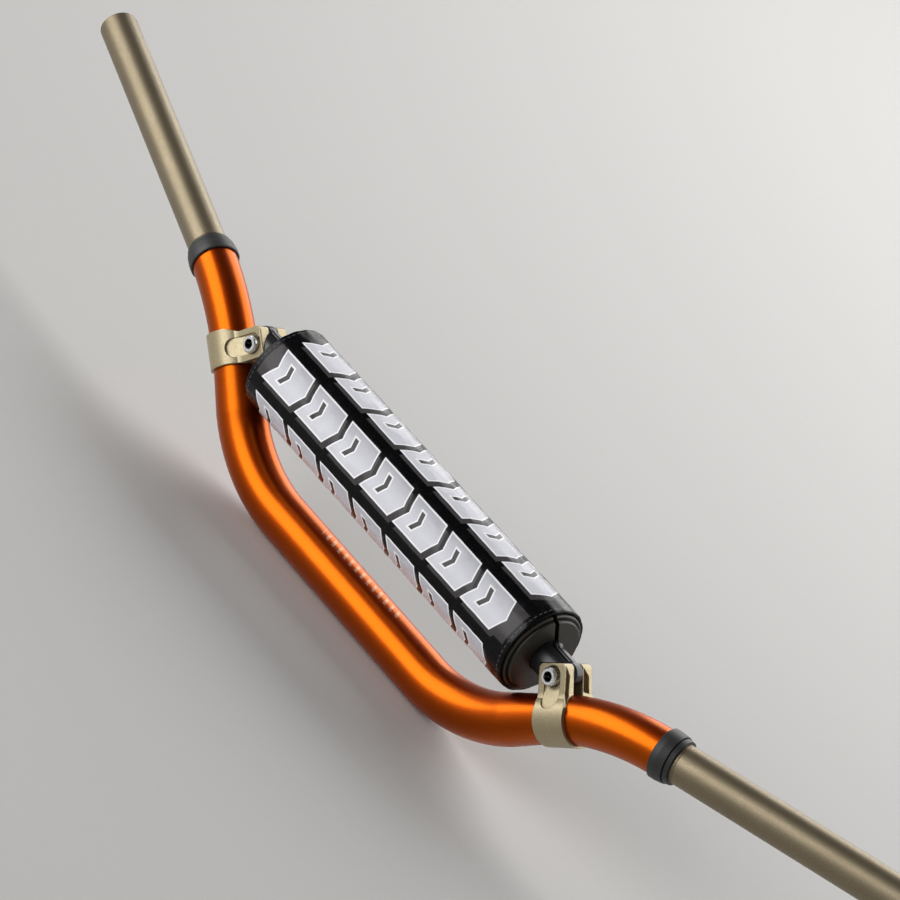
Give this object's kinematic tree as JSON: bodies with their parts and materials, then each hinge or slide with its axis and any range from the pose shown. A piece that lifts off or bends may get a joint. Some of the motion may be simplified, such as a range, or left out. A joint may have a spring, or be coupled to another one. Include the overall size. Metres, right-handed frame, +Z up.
{
  "type": "motocross handlebar",
  "caption": "Twin-tube motocross handlebar with a clamped crossbar and a round foam pad, bent up and back to two plain grip ends",
  "frame": {"origin": "middle of the straight centre section, on the tube's axis, where the motorbike's bar clamps hold it", "axes": "+X along the bar's width, +Z up with the rise, +Y the way the grips sweep back to the rider"},
  "size_m": [0.8032, 0.0855, 0.1305],
  "materials": {
    "orange_anodised": "satin anodised",
    "bronze_anodised": "satin hard anodised",
    "clamp_anodised": "satin anodised",
    "black_rubber": "matte",
    "zinc_steel": "zinc plated",
    "black_anodised": "satin anodised",
    "black_moulding": "semi gloss",
    "pad_foam": "closed-cell foam",
    "printed_vinyl": "gloss vinyl-coated fabric with a printed pattern",
    "closure_webbing": "woven hook-and-loop strip",
    "cap_moulding": "matte"
  },
  "bodies": {
    "root": {"crossbar_tube": "black_anodised", "inner_tube": "bronze_anodised", "left_clamp_bolt": "zinc_steel", "left_clamp_nut": "zinc_steel", "left_collar": "black_rubber", "left_crossbar_clamp": "clamp_anodised", "left_crossbar_end": "black_moulding", "left_end_sleeve": "zinc_steel", "left_pad_cap": "cap_moulding", "outer_tube": "orange_anodised", "pad_closure_strip": "closure_webbing", "pad_core": "pad_foam", "pad_cover": "printed_vinyl", "right_clamp_bolt": "zinc_steel", "right_clamp_nut": "zinc_steel", "right_collar": "black_rubber", "right_crossbar_clamp": "clamp_anodised", "right_crossbar_end": "black_moulding", "right_end_sleeve": "zinc_steel", "right_pad_cap": "cap_moulding"}
  },
  "joints": []
}
